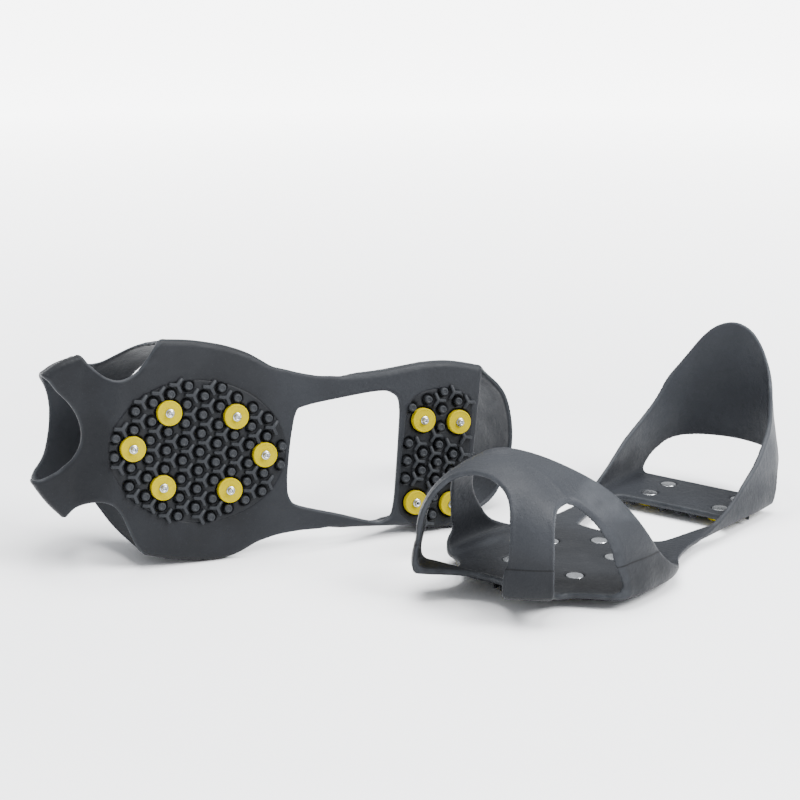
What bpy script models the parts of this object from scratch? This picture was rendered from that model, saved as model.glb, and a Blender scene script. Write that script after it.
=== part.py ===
"""A pair of stretch-on shoe ice cleats: one lies on its side, the other stands on its studs.

Each cleat is one rubber overshoe, ten steel studs riveted through its sole and ten yellow
collars, one round each stud. The rubber keeps the shape that it has on a boot.

A cleat is modelled for the right foot in millimetres: +Y to the toe, +X to the outer side,
+Z up out of the sole, with z = 0 on the outer face of the sole. The left one is its mirror.
"""

import math

import bmesh
import bpy
from mathutils import Matrix, Vector

MM = 0.001

# Rubber
WALL = 3.0            # thickness of the bands and flanks
FLOOR = 3.5           # thickness of the sole
CORNER = 5.0          # height of the rounded lower edge
CORNER_INSET = 2.4    # how far that edge pulls in
RIM = 21.0            # height of the side wall, where the bands leave the boot's outsole
RIM_INSET = 2.2       # the side wall leans in by this much at the rim
DOME_HEIGHT = 50.0    # rise of the toe band above the rim
TOE_CENTRE_Y = 48.2   # the toe is round about this point
HEEL_CENTRE_Y = -150.0
HEEL_START_Y = -70.0
HEEL_SHIFT_LENGTH = 60.0
SPRING_START = 44.0   # the boot's toe lifts the sole from here,
SPRING_END = 66.0     # by SPRING_RISE over this length,
SPRING_RISE = 8.0
SPRING_SLOPE = 0.12   # and by this slope beyond it
TREAD = 2.7           # height of the tread pads under the sole

# Studs and collars
STUD_LINE_X = 4.8     # the stud pattern sits this far to the outer side
FOREFOOT_STUDS = [(0, 36.5), (20, 18.5), (20, -18.5), (0, -36.5), (-20, -18.5), (-20, 18.5)]
HEEL_STUDS_Y = -138.9
HEEL_STUDS = [(23.4, 10.9), (23.4, -10.9), (-23.4, -10.9), (-23.4, 10.9)]
COLLAR_R = 6.75
COLLAR_FACE = 3.0     # the collar's outer face, below the sole
COLLAR_SEAT = 0.6     # depth of its seat in the sole
SHANK_R = 2.0
HEAD_R = 4.6
HEAD_THICK = 1.1
STUD_TIP = 5.3        # the stud's tip, below the sole
GAP = 0.3             # clearance between touching pieces

# How the pair lies
LYING_TOE_LIFT = 8.5  # degrees: the wide ball lifts the toe of the cleat that lies down
LYING_LEAN = 6.8      # degrees: its leaning side wall rests on the ground
LYING_TURN = 60.0     # degrees between the two cleats' long axes, from square
LYING_HEEL_SHIFT = 4.0  # its heel band sits to the inner side of the boot's heel
LYING_AT = (-160.9, -102.6)  # its place from the standing one

SEGMENTS = 12         # sides of a round piece
DOME_RINGS = 7        # rings in the height of the dome


def smooth_line(points, steps, closed=False):
    """A Catmull-Rom line through the points, with so many steps between two of them."""
    count = len(points)
    vectors = [Vector(p) for p in points]
    line = []
    for i in range(count if closed else count - 1):
        if closed:
            a, b, c, d = (vectors[(i + k) % count] for k in (-1, 0, 1, 2))
        else:
            b, c = vectors[i], vectors[i + 1]
            a = vectors[i - 1] if i else 2 * b - c
            d = vectors[i + 2] if i + 2 < count else 2 * c - b
        for k in range(steps):
            t = k / steps
            line.append(0.5 * (2 * b + (c - a) * t + (2 * a - 5 * b + 4 * c - d) * t**2
                               + (3 * b - a - 3 * c + d) * t**3))
    if not closed:
        line.append(vectors[-1])
    return line


def make_object(name, bm, side):
    """Closes a bmesh in millimetres into an object in metres, mirrored for the left foot."""
    if side < 0:
        bmesh.ops.scale(bm, vec=(-1, 1, 1), verts=bm.verts)
    bmesh.ops.scale(bm, vec=(MM, MM, MM), verts=bm.verts)
    bmesh.ops.recalc_face_normals(bm, faces=bm.faces)
    mesh = bpy.data.meshes.new(name)
    bm.to_mesh(mesh)
    bm.free()
    made = bpy.data.objects.new(name, mesh)
    bpy.context.collection.objects.link(made)
    return made


def ring_solid(rings, curved_ends=False):
    """A closed bmesh through rings that hold the same number of points, lowest first.

    A curved end is closed in strips from the outer side to the inner side.
    """
    bm = bmesh.new()
    rows = [[bm.verts.new(p) for p in ring] for ring in rings]
    for low, high in zip(rows, rows[1:]):
        for i in range(len(low)):
            k = (i + 1) % len(low)
            bm.faces.new((low[i], low[k], high[k], high[i]))
    for row in (rows[0], rows[-1]):
        if not curved_ends:
            bm.faces.new(row)
            continue
        last = len(row) - 1
        middle = last // 2
        for i in range(middle - 1):
            bm.faces.new((row[i], row[i + 1], row[last - i - 1], row[last - i]))
        bm.faces.new(row[middle - 1:middle + 2])
    return bm


def prism(outline, axis, start, end):
    """A prism over an outline of (x, y) for axis Z, or of (y, z) for axis X, or of (x, z) for axis Y."""
    place = {"X": lambda p, s: (s, p[0], p[1]),
             "Y": lambda p, s: (p[0], s, p[1]),
             "Z": lambda p, s: (p[0], p[1], s)}[axis]
    return ring_solid([[place(p, s) for p in outline] for s in (start, end)])


def turned(profile, centre):
    """A solid turned about the vertical line through centre, from a closed profile of (radius, z)."""
    bm = bmesh.new()
    verts = [bm.verts.new((r, 0, z)) for r, z in profile]
    edges = [bm.edges.new((verts[i], verts[i - 1])) for i in range(len(verts))]
    edges = [e for e in edges if any(v.co.x > 0 for v in e.verts)]
    bmesh.ops.spin(bm, geom=edges, cent=(0, 0, 0), axis=(0, 0, 1), angle=math.tau,
                   steps=SEGMENTS, use_merge=True, use_duplicate=False)
    loose = [v for v in bm.verts if not v.link_faces]
    bmesh.ops.delete(bm, geom=loose, context="VERTS")
    bmesh.ops.remove_doubles(bm, verts=bm.verts, dist=0.001)
    bmesh.ops.translate(bm, vec=(centre[0], centre[1], 0), verts=bm.verts)
    return bm


def pull(point, spine, share, inset):
    """The point moved to its spine: first inward by inset, then to a share of what is left."""
    offset = Vector(point) - Vector(spine)
    length = max(offset.length - inset, 0.0) * share
    return Vector(spine) + offset.normalized() * length


def toe_spring(y, z):
    """How far the boot's toe lifts the sole and the bands, fading out to the top of the dome."""
    rise = min(max((y - SPRING_START) / (SPRING_END - SPRING_START), 0), 1)
    eased = rise * rise * (3 - 2 * rise)
    beyond = max(y - SPRING_END, 0) * SPRING_SLOPE
    fade = 1 - max(z - RIM, 0) / DOME_HEIGHT
    return (eased * SPRING_RISE + beyond) * fade


def shell_rings(outline, centre_y, levels, inset):
    """Rings over a foot outline. A level is (z, share of the half width, inset)."""
    rings = []
    for z, share, level_inset in levels:
        ring = []
        for x, y in outline:
            beyond = (y - centre_y) * centre_y > 0
            flat = pull((x, y), (0, centre_y if beyond else y), share, level_inset + inset)
            ring.append((flat.x, flat.y, z + toe_spring(flat.y, z)))
        rings.append(ring)
    return rings


# Plan outlines of the overshoe, outer side first, then the round end, then the inner side.
TOE_OUTLINE = [(50.5, -46), (55.5, -36), (61.8, -24), (64.4, -12), (64.6, 0), (64.2, 12),
               (61.6, 27), (56.5, 42), (51.5, 55), (46, 66.5), (36, 78.5), (21, 89), (0, 94),
               (-22, 89.5), (-35, 79.5), (-42, 66.5), (-46.3, 55), (-50.3, 42), (-53.5, 27),
               (-54.6, 12), (-54.2, 0), (-52.8, -12), (-49.7, -24), (-45, -36), (-42.5, -46)]
HEEL_OUTLINE = [(46, -70), (45.8, -100), (46.2, -127), (46.5, -150), (43, -174), (30, -193),
                (0, -201), (-30, -193), (-44, -174), (-48.5, -150), (-47.5, -130),
                (-42.5, -100), (-40.5, -70)]
WAIST_OUTLINE = [(47, -40), (50.8, -45), (47.6, -59), (46, -76), (42, -80),
                 (-38, -80), (-40.5, -76), (-40.5, -59), (-42.7, -45), (-40, -40)]

# Openings, as plan outlines. Each is lower and wider in the sole than in the bands.
FRONT_NOTCH = [(27, 120), (26, 87), (21.2, 75.2), (16, 69), (11, 65), (4.8, 62.7), (-2, 62.7),
               (-9, 65), (-15.4, 69.4), (-22.2, 77), (-29.9, 87), (-33, 120)]
FRONT_HOLE = [(28, 120), (27.5, 86), (24, 77), (18, 71.5), (9, 69), (0, 68.5), (-9, 69.5),
              (-18, 73), (-25, 79), (-30.5, 87), (-33, 120)]
SIDE_NOTCH = [(80, 82), (52, 70.5), (41.4, 64.6), (37, 59), (34.7, 51), (36, 44), (41, 39),
              (48, 35), (56, 30.5), (64.6, 24), (80, 18)]
SIDE_HOLE = [(80, 82), (52, 71.5), (43.3, 65), (39, 58.5), (37.8, 52), (40, 45), (46, 40),
             (52, 35.5), (58, 29.5), (64, 23.5), (80, 14)]
INNER_NOTCH = [(-80, 82), (-52, 71), (-41.5, 64.6), (-36, 59), (-31.5, 52), (-31, 45), (-35, 38),
               (-42, 33), (-49, 29), (-56, 24), (-80, 12)]
INNER_HOLE = [(-80, 84), (-52, 73), (-42, 66), (-36.5, 59), (-34.5, 52), (-36, 45), (-41, 38),
              (-46, 32), (-50, 26), (-54, 20), (-80, 2)]
WINDOW = [(0, -51.5), (20, -51.8), (28.5, -54), (32.4, -60), (36.3, -84), (40, -104),
          (39, -111.5), (31, -115.5), (0, -115), (-26, -113.5), (-32.5, -108), (-32.8, -99),
          (-28, -78), (-22.5, -58), (-18, -53)]

# Side views, as (y, z).
BAND_REAR = [(-29, FLOOR), (-22, 6), (-12, 11), (-4, 18), (5, 29), (12, 40), (18, 51),
             (24, 59), (30, 65.5), (35, 71), (38, 90)]
FLANK_FRONT = [(-80, FLOOR), (-104, 10), (-128, 21), (-148, 33.5), (-163, 46), (-170, 57),
               (-174, 68), (-178, 83), (-181, 110)]
HEEL_UNDER = [(-161.5, -10), (-162, 2), (-166, 9), (-173, 17), (-184, 23), (-215, 27)]
TAB = [(-60, 50), (-42, 51), (-34, 62), (-26, 76), (-19, 88), (-11, 96), (0, 99), (11, 96),
       (19, 88), (26, 76), (34, 62), (42, 51), (60, 50), (60, 130), (-60, 130)]


def dome_levels(height):
    """Heights and shares of an elliptic dome over the rim."""
    shares = []
    for k in range(1, DOME_RINGS + 1):
        angle = math.radians(90) * k / (DOME_RINGS + 0.6)
        shares.append((RIM + height * math.sin(angle), math.cos(angle), RIM_INSET))
    return shares


def wall_levels(floor):
    """The rounded lower edge and the leaning side wall."""
    return [(floor, 1, CORNER_INSET), (floor + 1.4, 1, 0.6), (floor + CORNER, 1, 0),
            (RIM, 1, RIM_INSET)]


HEEL_TOP = [(28, 0.985, RIM_INSET), (36, 0.955, RIM_INSET), (48, 0.915, RIM_INSET),
            (62, 0.88, RIM_INSET), (80, 0.85, RIM_INSET), (104, 0.83, RIM_INSET)]


def apply_boolean(target, tool, operation):
    """Joins or cuts the target with a tool, and removes the tool."""
    modifier = target.modifiers.new(operation.lower(), "BOOLEAN")
    modifier.operation = operation
    modifier.solver = "EXACT"
    modifier.object = tool
    graph = bpy.context.evaluated_depsgraph_get()
    result = bpy.data.meshes.new_from_object(target.evaluated_get(graph))
    target.modifiers.clear()
    target.data = result
    bpy.data.objects.remove(tool)


def shell(name, outline, centre_y, top, inner_top, side):
    """A hollow end of the overshoe: a solid over the outline, less the same one a wall smaller."""
    line = smooth_line([(x, y, 0) for x, y in outline], 2)
    plan = [(p.x, p.y) for p in line]
    outer_rings = shell_rings(plan, centre_y, wall_levels(0) + top, 0)
    inner_rings = shell_rings(plan, centre_y, wall_levels(FLOOR) + inner_top, WALL)
    outer = make_object(name, ring_solid(outer_rings, curved_ends=True), side)
    hollow = make_object("hollow", ring_solid(inner_rings, curved_ends=True), side)
    apply_boolean(outer, hollow, "DIFFERENCE")
    return outer


def stud_places(side):
    """Stud centres in the plane of the sole, forefoot first."""
    places = [(x + STUD_LINE_X, y) for x, y in FOREFOOT_STUDS]
    return places + [(x + STUD_LINE_X, y + HEEL_STUDS_Y) for x, y in HEEL_STUDS]


def ellipse(centre, half_x, half_y, count):
    """Points of an ellipse."""
    turns = [math.tau * k / count for k in range(count)]
    return [(centre[0] + half_x * math.cos(t), centre[1] + half_y * math.sin(t)) for t in turns]


def heel_pad_outline():
    """The heel tread: long across the heel, with round ends."""
    points = [(x, HEEL_STUDS_Y + y) for x, y in ((-28, -18), (-38, -13), (-41, 0), (-36, 16),
                                                 (-22, 21), (22, 21), (33, 15), (36.5, 0),
                                                 (34, -14), (25, -18))]
    return [(p.x, p.y) for p in smooth_line([(x, y, 0) for x, y in points], 2, closed=True)]


def heel_plan(shift):
    """The heel's outline, drawn to the inner side of the boot by a shift that grows from the waist."""
    return [(x - shift * min((HEEL_START_Y - y) / HEEL_SHIFT_LENGTH, 1), y) for x, y in HEEL_OUTLINE]


def overshoe(name, side, heel_shift):
    """The rubber: toe shell, waist and heel shell in one, with its openings cut out."""
    rubber = shell(name, TOE_OUTLINE, TOE_CENTRE_Y, dome_levels(DOME_HEIGHT),
                   dome_levels(DOME_HEIGHT - WALL), side)
    inner_heel = HEEL_TOP[:-1] + [(120, 0.83, RIM_INSET)]
    band_rear = smooth_line([(y, z, 0) for y, z in BAND_REAR], 2)
    rear_cut = [(p.x, p.y) for p in band_rear] + [(-60, 90), (-60, FLOOR)]
    apply_boolean(rubber, make_object("cut", prism(rear_cut, "X", -90, 90), side), "DIFFERENCE")

    heel = shell("heel", heel_plan(heel_shift), HEEL_CENTRE_Y, HEEL_TOP, inner_heel, side)
    flank = smooth_line([(y, z, 0) for y, z in FLANK_FRONT], 2)
    front_cut = [(p.x, p.y) for p in flank] + [(-50, 110), (-50, FLOOR)]
    apply_boolean(heel, make_object("cut", prism(front_cut, "X", -90, 90), side), "DIFFERENCE")
    apply_boolean(heel, make_object("cut", prism(TAB, "Y", -230, -120), side), "DIFFERENCE")

    waist = [(p.x, p.y) for p in smooth_line([(x, y, 0) for x, y in WAIST_OUTLINE], 1, closed=True)]
    apply_boolean(rubber, make_object("waist", prism(waist, "Z", 0, FLOOR), side), "UNION")
    apply_boolean(rubber, heel, "UNION")

    pads = [ellipse((STUD_LINE_X, 0), 38, 48, 32), heel_pad_outline()]
    for pad in pads:
        solid = prism(pad, "Z", -TREAD, 1.0)
        apply_boolean(rubber, make_object("pad", solid, side), "UNION")

    under = smooth_line([(y, z, 0) for y, z in HEEL_UNDER], 2)
    under_cut = [(p.x, p.y) for p in under] + [(-215, -10)]
    apply_boolean(rubber, make_object("cut", prism(under_cut, "X", -90, 90), side), "DIFFERENCE")

    cuts = [(FRONT_NOTCH, -10, 17), (SIDE_NOTCH, -10, 11), (INNER_NOTCH, -10, 11),
            (FRONT_HOLE, 16, 90), (SIDE_HOLE, 10, 90), (INNER_HOLE, 10, 90)]
    for outline, low, high in cuts:
        curve = [(p.x, p.y) for p in smooth_line([(x, y, 0) for x, y in outline], 2)]
        apply_boolean(rubber, make_object("cut", prism(curve, "Z", low, high), side), "DIFFERENCE")
    window = [(p.x, p.y) for p in smooth_line([(x, y, 0) for x, y in WINDOW], 2, closed=True)]
    apply_boolean(rubber, make_object("cut", prism(window, "Z", -10, 10), side), "DIFFERENCE")

    seat = COLLAR_SEAT + GAP
    head_seat = FLOOR - HEAD_THICK - GAP
    for place in stud_places(side):
        bore = [(0, -10), (COLLAR_R + GAP, -10), (COLLAR_R + GAP, seat), (SHANK_R + GAP, seat),
                (SHANK_R + GAP, head_seat), (HEAD_R + GAP, head_seat), (HEAD_R + GAP, 10), (0, 10)]
        apply_boolean(rubber, make_object("bore", turned(bore, place), side), "DIFFERENCE")
    return rubber


def collar(name, place, side):
    """A yellow collar: a flat ring round a stud, with a bevelled edge and a foot in the sole."""
    bore_r = SHANK_R + GAP
    profile = [(bore_r, -COLLAR_FACE + 0.4), (bore_r + 0.5, -COLLAR_FACE), (COLLAR_R - 0.7, -COLLAR_FACE),
               (COLLAR_R, -COLLAR_FACE + 0.7), (COLLAR_R, COLLAR_SEAT), (bore_r, COLLAR_SEAT)]
    return make_object(name, turned(profile, place), side)


def stud(name, place, side):
    """A steel stud: a flat head inside the sole, a shank and a bevelled tip."""
    head_low = FLOOR - HEAD_THICK
    profile = [(0, -STUD_TIP), (1.2, -STUD_TIP), (SHANK_R, -STUD_TIP + 0.8), (SHANK_R, head_low),
               (HEAD_R, head_low), (HEAD_R, FLOOR - 0.3), (HEAD_R - 0.3, FLOOR), (0, FLOOR)]
    return make_object(name, turned(profile, place), side)


def material(name, colour, roughness, metallic):
    made = bpy.data.materials.new(name)
    made.use_nodes = True
    shader = made.node_tree.nodes["Principled BSDF"]
    shader.inputs["Base Color"].default_value = (*colour, 1)
    shader.inputs["Roughness"].default_value = roughness
    shader.inputs["Metallic"].default_value = metallic
    return made


def finish_piece(piece, look, holder):
    """Shades a piece, gives it its material and puts it under its cleat's empty."""
    piece.data.materials.clear()
    piece.data.materials.append(look)
    piece.data.shade_smooth()
    piece.data.set_sharp_from_angle(angle=math.radians(35))
    piece.parent = holder


def cleat(label, side, heel_shift, looks):
    """One whole cleat under an empty named after it."""
    holder = bpy.data.objects.new(label, None)
    bpy.context.collection.objects.link(holder)
    finish_piece(overshoe(label + "_overshoe", side, heel_shift), looks["rubber"], holder)
    for number, place in enumerate(stud_places(side), 1):
        finish_piece(collar(f"{label}_collar_{number:02d}", place, side), looks["collar"], holder)
        finish_piece(stud(f"{label}_stud_{number:02d}", place, side), looks["steel"], holder)
    return holder


def box_of(holders):
    """The lowest and highest corner round the cleats, in metres."""
    bpy.context.view_layer.update()
    points = [piece.matrix_world @ vertex.co
              for holder in holders for piece in holder.children for vertex in piece.data.vertices]
    low = Vector([min(p[k] for p in points) for k in range(3)])
    high = Vector([max(p[k] for p in points) for k in range(3)])
    return low, high


def place_pair(lying, standing):
    """Stands one cleat on its studs, toe to -Y, and lays the other on its outer side."""
    standing.matrix_world = Matrix.Rotation(math.pi, 4, "Z")
    turn = Matrix.Rotation(math.radians(LYING_TURN), 4, "Z")
    lift = Matrix.Rotation(math.radians(LYING_TOE_LIFT), 4, "Y")
    lean = Matrix.Rotation(math.radians(-LYING_LEAN), 4, "X")
    on_side = Matrix(((0, -1, 0, 0), (0, 0, 1, 0), (-1, 0, 0, 0), (0, 0, 0, 1)))
    lying.matrix_world = turn @ lift @ lean @ on_side
    for holder, (x, y) in ((standing, (0, 0)), (lying, LYING_AT)):
        low, high = box_of([holder])
        holder.matrix_world = Matrix.Translation((x * MM, y * MM, -low.z)) @ holder.matrix_world
    low, high = box_of([standing, lying])
    middle = (low + high) / 2
    for holder in (standing, lying):
        holder.matrix_world = Matrix.Translation((-middle.x, -middle.y, 0)) @ holder.matrix_world


def main():
    for old in list(bpy.data.objects):
        bpy.data.objects.remove(old)
    looks = {"rubber": material("rubber", (0.055, 0.065, 0.08), 0.6, 0.0),
             "collar": material("yellow_plastic", (0.85, 0.78, 0.03), 0.45, 0.0),
             "steel": material("steel", (0.6, 0.6, 0.6), 0.3, 1.0)}
    lying = cleat("lying", 1, LYING_HEEL_SHIFT, looks)
    standing = cleat("standing", -1, 0.0, looks)
    place_pair(lying, standing)


main()
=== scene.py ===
import math

import bpy
import numpy as np
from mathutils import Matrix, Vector


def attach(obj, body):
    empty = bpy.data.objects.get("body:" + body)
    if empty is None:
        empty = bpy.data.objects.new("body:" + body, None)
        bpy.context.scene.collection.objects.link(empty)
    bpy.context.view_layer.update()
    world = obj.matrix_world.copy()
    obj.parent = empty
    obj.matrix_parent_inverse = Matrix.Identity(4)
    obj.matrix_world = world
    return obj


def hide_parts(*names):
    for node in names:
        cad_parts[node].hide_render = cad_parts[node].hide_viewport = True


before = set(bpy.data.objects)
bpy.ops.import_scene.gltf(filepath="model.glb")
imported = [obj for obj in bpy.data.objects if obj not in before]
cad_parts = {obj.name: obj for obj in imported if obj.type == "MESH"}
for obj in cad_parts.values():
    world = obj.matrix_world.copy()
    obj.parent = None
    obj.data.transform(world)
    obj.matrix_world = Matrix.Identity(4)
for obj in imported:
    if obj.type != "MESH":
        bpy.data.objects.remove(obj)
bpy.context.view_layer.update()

# Both cleats are shaped in one frame of their own, in millimetres, as a cleat for the right foot:
# +Y to the toe, +X to the outer side, +Z from the sole up to the foot, and z = 0 on the sole's outer
# face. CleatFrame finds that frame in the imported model, from the studs, and mirrors the left cleat.
MM = 0.001

# Rubber
WALL = 3.0            # thickness of the bands and flanks
FLOOR = 3.5           # thickness of the sole
CORNER = 5.0          # height of the rounded lower edge
CORNER_INSET = 2.4    # how far that edge pulls in
RIM = 21.0            # height of the side wall
RIM_INSET = 2.2       # the side wall leans in by this much at the rim
DOME_HEIGHT = 50.0    # rise of the toe band above the rim
TOE_CENTRE_Y = 48.2   # the toe is round about this point
TOE_START_Y = -46.0
HEEL_CENTRE_Y = -150.0
HEEL_START_Y = -70.0
HEEL_SHIFT = {"lying": 4.0, "standing": 0.0}   # how far the heel band sits to the inner side
HEEL_SHIFT_LENGTH = 60.0                       # and over what length it gets there
# What is left of the heel's width at each height.
HEEL_SHARES = [(RIM, 1.0), (28, 0.985), (36, 0.955), (48, 0.915), (62, 0.88), (80, 0.85),
               (104, 0.83)]
SPRING_START = 44.0   # the boot's toe lifts the sole from here on,
SPRING_RISE = 8.0     # by this much
SPRING_END = 66.0     # at this point,
SPRING_SLOPE = 0.12   # and by this slope beyond it

# Softness of the rubber's edges and corners
FOOT_ROUND = 1.0      # the outer lower edge, and the ends inside the waist
EDGE_ROUND = 1.3      # the bands' cut edges
OPENING_ROUND = 2.0   # the openings' edges
JOIN_ROUND = 2.5      # inner corners
WAIST_ROUND = 1.6     # the waist's long edges
PLATE_ROUND = 0.4     # where the waist's plate runs into the toe and the heel
SEAT_ROUND = 0.4      # the seat of the tread
POCKET_ROUND = 0.3    # the pocket of a stud's head

# The waist's plate, and how the side walls fade into it
WAIST_INSET = 0.6     # the plate stands in from the outline by this much,
UNDER_INSET = 1.8     # and by this much more under the toe and the heel
FADE_DEPTH = 1.2      # the side walls pull in by this much at their ends,
FADE_LENGTH = 18.0    # over this length

# Moulded lines of the rubber
BEAD_HEIGHT = 0.4     # raised bead along an opening
BEAD_WIDTH = 1.3
BAND_BEAD = 0.4       # share of it along the band's rear edge,
HEEL_BEAD = 0.6       # round the heel band,
WINDOW_BEAD = 0.8     # and round the window
STEP_HEIGHT = 0.3     # the moulded foot of the bands stands proud by this much
STEP_AT_WING = 19.0   # height of that step on the wings,
STEP_AT_TOE = 15.5    # and on the toe arms
STEP_TURN = (20, 50)  # it goes from one height to the other between these y
STEP_REAR = -20.0     # the step's painted shade line shows only in front of this,
STEP_DEPTH = 1.5      # and on an outer skin of this depth

# Where the rubber is paler: from wear, and where painted light from above and a painted highlight
# make it paler
SHELTER = 2.5         # the cut edges' wear and painted highlight fade out below this height over the inner sole,
SHELTER_SLOPE = 3.0   # this fast
PALE_SOLE = 0.15      # paleness of the sole at the toe,
PALE_REAR = 0.3       # what the rear has more,
REAR_SPAN = (20, 60)  # setting in between these distances behind y = 0,
PAINTED_TOP_LIGHT = 0.55      # and what the bands have more, as painted light from above,
HIGH_SPAN = (8, 40)   # setting in between these heights

# Grid for the rubber
VOXEL = 0.97
GRID_LOW = (-60.0, -206.0, -3.0)
GRID_HIGH = (70.0, 100.0, 108.0)
PINCH_ROUNDS = 10     # at most, to clear the places where the surface would touch itself

# Studs and collars
STUD_LINE_X = 4.8
FOREFOOT_STUDS = [(0, 36.5), (20, 18.5), (20, -18.5), (0, -36.5), (-20, -18.5), (-20, 18.5)]
HEEL_STUDS_Y = -138.9
HEEL_STUDS = [(23.4, 10.9), (23.4, -10.9), (-23.4, -10.9), (-23.4, 10.9)]
COLLAR_R = 6.75
COLLAR_FACE = 3.0
COLLAR_SEAT = 0.6
SHANK_R = 2.0
HEAD_R = 4.6
HEAD_THICK = 1.1
STUD_TIP = 5.3
GAP = 0.3             # round a stud's head in its pocket

# Tread
PIN_PITCH = 10.0      # along the columns, which run across the foot
COLUMN_STEP = 9.2     # from column to column
PIN_R = 2.15
PIN_HEIGHT = 2.7
PIT_R = 3.5           # a pin stands in a round pit
PIT_DEPTH = 0.9
PIN_MARGIN = 1.6      # least distance from a pin to the tread's outline,
PIN_CLEARANCE = 9.0   # and to a stud
MOAT_R = 7.7          # outside of the groove round a collar
MOAT_DEPTH = 1.0
RIDGE_HEIGHT = 2.3
RIDGE_ARM = 4.0
RIDGE_TIP = 0.6       # length of an arm's tapered tip, as a share of its half width
RIDGE_MARGIN = 1.0    # least distance from a ridge's middle to the outline,
RIDGE_CLEARANCE = MOAT_R + 0.6   # and to a stud
RECESS = 1.1          # depth of the tread's seat in the sole
SEAT_INSET = 0.5      # the seat is smaller than the tread all round by this much
GROUND_PROUD = 0.05   # the tread's ground stands proud of the sole,
GROUND_DROP = 0.35    # and sinks by this much at its rim,
GROUND_RIM = 1.0      # over this width
GROUND_BOTTOM = RECESS + 0.3
GROUND_COUNTS = ((150, 190), (150, 84))   # points across and along each tread's ground

# Half width of a ridge's arm at each height, and profiles turned about a vertical line, as
# (radius, z). A collar's profile is closed.
RIDGE_PROFILE = [(0.5, -RIDGE_HEIGHT), (0.85, 0.3 - RIDGE_HEIGHT), (1.05, 0.3)]
PIN_PROFILE = [(0.5, 0.3 - PIN_HEIGHT), (PIN_R - 1.0, 0.25 - PIN_HEIGHT), (PIN_R - 0.8, -PIN_HEIGHT),
               (PIN_R - 0.35, -PIN_HEIGHT), (PIN_R, 0.35 - PIN_HEIGHT), (PIN_R + 0.1, -0.2),
               (PIN_R + 0.5, PIT_DEPTH + 0.1)]
BORE_R = SHANK_R + 0.05
COLLAR_PROFILE = [(BORE_R, 0.5 - COLLAR_FACE), (BORE_R + 0.35, 0.2 - COLLAR_FACE),
                  (COLLAR_R - 1.1, 0.2 - COLLAR_FACE), (COLLAR_R - 0.85, 0.02 - COLLAR_FACE),
                  (COLLAR_R - 0.45, -COLLAR_FACE), (COLLAR_R - 0.12, 0.2 - COLLAR_FACE),
                  (COLLAR_R, 0.6 - COLLAR_FACE), (COLLAR_R, COLLAR_SEAT), (BORE_R, COLLAR_SEAT)]
HEAD_FACE = FLOOR - HEAD_THICK
STUD_PROFILE = [(0.5, 1.1 - STUD_TIP), (0.75, 0.4 - STUD_TIP), (1.0, 0.1 - STUD_TIP),
                (1.25, -STUD_TIP), (1.55, 0.15 - STUD_TIP), (1.75, 0.6 - STUD_TIP),
                (1.8, -COLLAR_FACE - 0.6), (SHANK_R + 0.35, -COLLAR_FACE - 0.35),
                (SHANK_R + 0.35, -COLLAR_FACE - 0.02), (SHANK_R, 0.1 - COLLAR_FACE),
                (SHANK_R, HEAD_FACE - 0.3), (SHANK_R + 0.4, HEAD_FACE), (HEAD_R - 0.2, HEAD_FACE),
                (HEAD_R, HEAD_FACE + 0.2), (HEAD_R, FLOOR - 0.4), (HEAD_R - 0.25, FLOOR - 0.1),
                (HEAD_R - 0.8, FLOOR), (0.8, FLOOR)]
TURNED_COUNTS = {"pin": 18, "collar": 64, "stud": 40}   # points round each

# Plan outlines of the overshoe: the outer side first, then the round end, then the inner side.
TOE_OUTLINE = [(50.5, -46), (55.5, -36), (61.8, -24), (64.4, -12), (64.6, 0), (64.2, 12),
               (61.6, 27), (56.5, 42), (51.5, 55), (46, 66.5), (36, 78.5), (21, 89), (0, 94),
               (-22, 89.5), (-35, 79.5), (-42, 66.5), (-46.3, 55), (-50.3, 42), (-53.5, 27),
               (-54.6, 12), (-54.2, 0), (-52.8, -12), (-49.7, -24), (-45, -36), (-42.5, -46)]
HEEL_OUTLINE = [(46, -70), (45.8, -100), (46.2, -127), (46.5, -150), (43, -174), (30, -193),
                (0, -201), (-30, -193), (-44, -174), (-48.5, -150), (-47.5, -130),
                (-42.5, -100), (-40.5, -70)]
OUTER_WAIST = [(47.6, -58)]
INNER_WAIST = [(-40.8, -58)]

# Treads, about their own middles.
FOREFOOT_TREAD = (38.6, 48.8)   # half axes of an ellipse
HEEL_TREAD = [(-30, -18.5), (-39, -13), (-42, 0), (-37, 16), (-23, 21), (22, 21), (33, 16),
              (37.5, 1), (35, -13), (26, -18.5)]

# Openings, as plan outlines. A NOTCH is the outline in the sole, and a HOLE is the outline in the
# bands. Each opening goes from one to the other between two heights.
FRONT_CHANGE = (11, 21)
SIDE_CHANGE = (6, 15)
FRONT_NOTCH = [(27, 120), (26, 87), (21.2, 75.2), (16, 69), (11, 65), (4.8, 62.7), (-2, 62.7),
               (-9, 65), (-15.4, 69.4), (-22.2, 77), (-29.9, 87), (-33, 120)]
FRONT_HOLE = [(28, 120), (27.5, 86), (24, 77), (18, 71.5), (9, 69), (0, 68.5), (-9, 69.5),
              (-18, 73), (-25, 79), (-30.5, 87), (-33, 120)]
SIDE_NOTCH = [(80, 82), (52, 70.5), (41.4, 64.6), (37, 59), (34.7, 51), (36, 44), (41, 39),
              (48, 35), (56, 30.5), (64.6, 24), (80, 18)]
SIDE_HOLE = [(80, 82), (52, 71.5), (43.3, 65), (39, 58.5), (37.8, 52), (40, 45), (46, 40),
             (52, 35.5), (58, 29.5), (64, 23.5), (80, 14)]
INNER_NOTCH = [(-80, 82), (-52, 71), (-41.5, 64.6), (-36, 59), (-31.5, 52), (-31, 45), (-35, 38),
               (-42, 33), (-49, 29), (-56, 24), (-80, 12)]
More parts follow.
